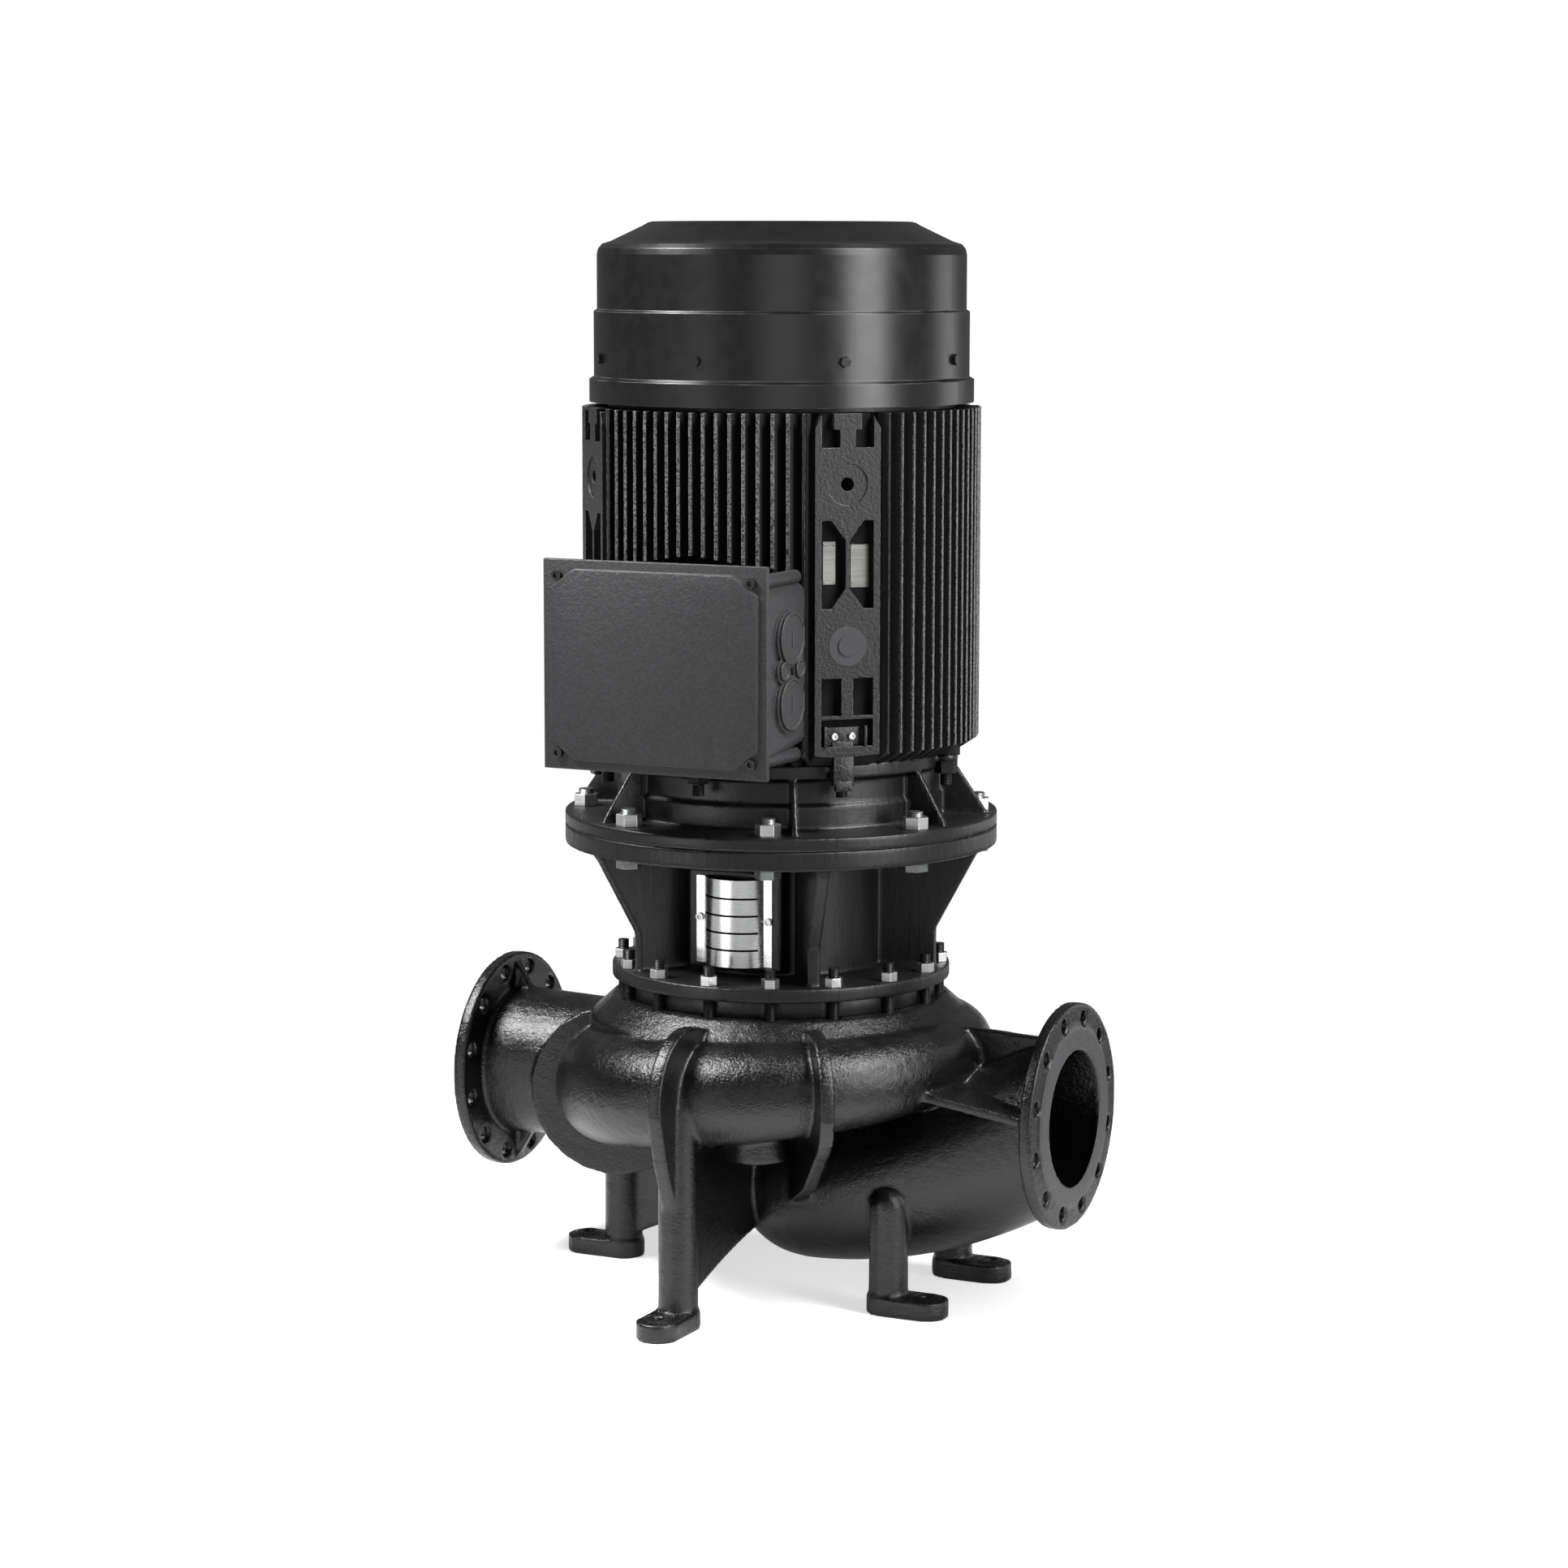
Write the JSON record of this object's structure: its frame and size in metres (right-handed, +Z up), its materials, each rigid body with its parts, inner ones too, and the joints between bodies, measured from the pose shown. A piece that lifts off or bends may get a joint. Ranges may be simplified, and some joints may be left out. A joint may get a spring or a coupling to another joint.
{
  "type": "dry rotor circulator pump",
  "caption": "Vertical inline circulator pump: volute casing on cast feet with two flanged ports, motor stool with guarded coupling, finned flange motor with terminal box and fan cowl.",
  "frame": {"origin": "on the shaft axis at the ground, under the foot pads", "axes": "+Z up along the shaft, +X towards the suction port, -Y towards the terminal box"},
  "size_m": [0.98, 0.876, 1.622],
  "materials": {
    "cast_black": "satin black paint over a rough casting",
    "smooth_black": "satin black paint",
    "zinc": "zinc plated",
    "black_steel": "black oxide",
    "stainless": "brushed",
    "bronze": "machined",
    "shaft_steel": "ground",
    "lamination": "stacked sheets",
    "copper": "lacquered",
    "aluminium": "cast",
    "rubber": "matt",
    "carbon": "lapped",
    "black_plastic": "moulded",
    "board_plastic": "moulded"
  },
  "bodies": {
    "stator": {"pump_casing": "cast_black", "casing_wear_ring": "bronze", "drain_plug": "black_steel", "cover_gasket": "rubber", "pump_cover": "cast_black", "seal_gland": "shaft_steel", "gland_screws": "zinc", "seal_seat": "carbon", "motor_stool": "cast_black", "front_coupling_guard": "stainless", "back_coupling_guard": "stainless", "guard_screws": "zinc", "head_studs": "black_steel", "head_nuts": "zinc", "flange_bolts": "zinc", "flange_nuts": "zinc", "drive_end_shield": "cast_black", "endshield_bolts": "black_steel", "motor_frame": "cast_black", "stator_core": "lamination", "stator_windings": "copper", "drive_bearing_outer_race": "shaft_steel", "fan_bearing_outer_race": "shaft_steel", "drive_bearing_cap": "cast_black", "fan_bearing_cap": "cast_black", "bearing_cap_screws": "zinc", "fan_end_shield": "cast_black", "fan_shield_screws": "zinc", "fan_cowl": "smooth_black", "cowl_screws": "black_steel", "terminal_box": "smooth_black", "terminal_box_gasket": "rubber", "terminal_box_lid": "smooth_black", "lid_screws": "black_steel", "terminal_box_screws": "zinc", "terminal_board": "board_plastic", "terminal_studs": "bronze", "entry_plugs": "black_plastic", "rating_plates": "aluminium", "frame_plugs": "black_plastic", "earth_clamps": "black_steel"},
    "rotor": {"impeller": "bronze", "impeller_key": "shaft_steel", "impeller_washer": "stainless", "impeller_nut": "stainless", "pump_shaft": "shaft_steel", "seal_head": "carbon", "seal_spring": "stainless", "coupling_half_front": "shaft_steel", "coupling_half_back": "shaft_steel", "coupling_keys": "shaft_steel", "coupling_screws": "black_steel", "motor_shaft": "shaft_steel", "rotor_core": "lamination", "rotor_end_rings": "aluminium", "drive_bearing_inner_race": "shaft_steel", "fan_bearing_inner_race": "shaft_steel", "cooling_fan": "black_plastic"},
    "drive_ball_set": {"drive_bearing_balls": "shaft_steel"},
    "fan_ball_set": {"fan_bearing_balls": "shaft_steel"}
  },
  "joints": [
    {"name": "rotor_spin", "type": "hinge", "parent": "stator", "child": "rotor", "pos_m": [0, 0, 0.6], "axis": [0, 0, 1], "continuous": true},
    {"name": "drive_balls_roll", "type": "hinge", "parent": "stator", "child": "drive_ball_set", "pos_m": [0, 0, 0.6], "axis": [0, 0, 1], "continuous": true},
    {"name": "fan_balls_roll", "type": "hinge", "parent": "stator", "child": "fan_ball_set", "pos_m": [0, 0, 0.6], "axis": [0, 0, 1], "continuous": true}
  ],
  "couplings": [
    {"joint": "drive_balls_roll", "follows": "rotor_spin", "ratio": 0.412},
    {"joint": "fan_balls_roll", "follows": "rotor_spin", "ratio": 0.412}
  ]
}
